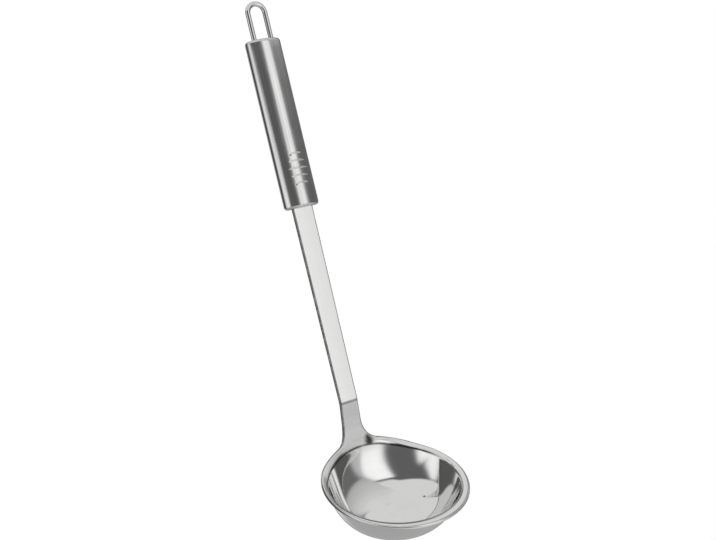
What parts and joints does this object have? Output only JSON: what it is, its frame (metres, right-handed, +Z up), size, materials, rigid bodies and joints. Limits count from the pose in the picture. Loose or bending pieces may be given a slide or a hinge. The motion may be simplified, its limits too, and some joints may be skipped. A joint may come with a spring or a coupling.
{
  "type": "ladle",
  "caption": "Steel ladle: a deep round bowl with a flat rim, a bent flat stem, an oval hollow handle with thumb grooves and a wire hanging loop.",
  "frame": {"origin": "inside top of the hanging loop, the point that rests on a hook", "axes": "+Z up along stem and handle, -Y towards the bowl, X across the stem"},
  "size_m": [0.0896, 0.0792, 0.3369],
  "materials": {
    "polished_steel": "polished stainless steel",
    "satin_steel": "fine lengthwise polish",
    "wire_steel": "drawn wire, polished",
    "weld_steel": "bare weld bead, hidden"
  },
  "bodies": {
    "root": {"bowl_and_stem": "polished_steel", "handle_tube": "satin_steel", "lower_end_cap": "satin_steel", "upper_end_cap": "satin_steel", "hanging_loop": "wire_steel", "stem_weld": "weld_steel", "loop_weld_left": "weld_steel", "loop_weld_right": "weld_steel"}
  },
  "joints": []
}
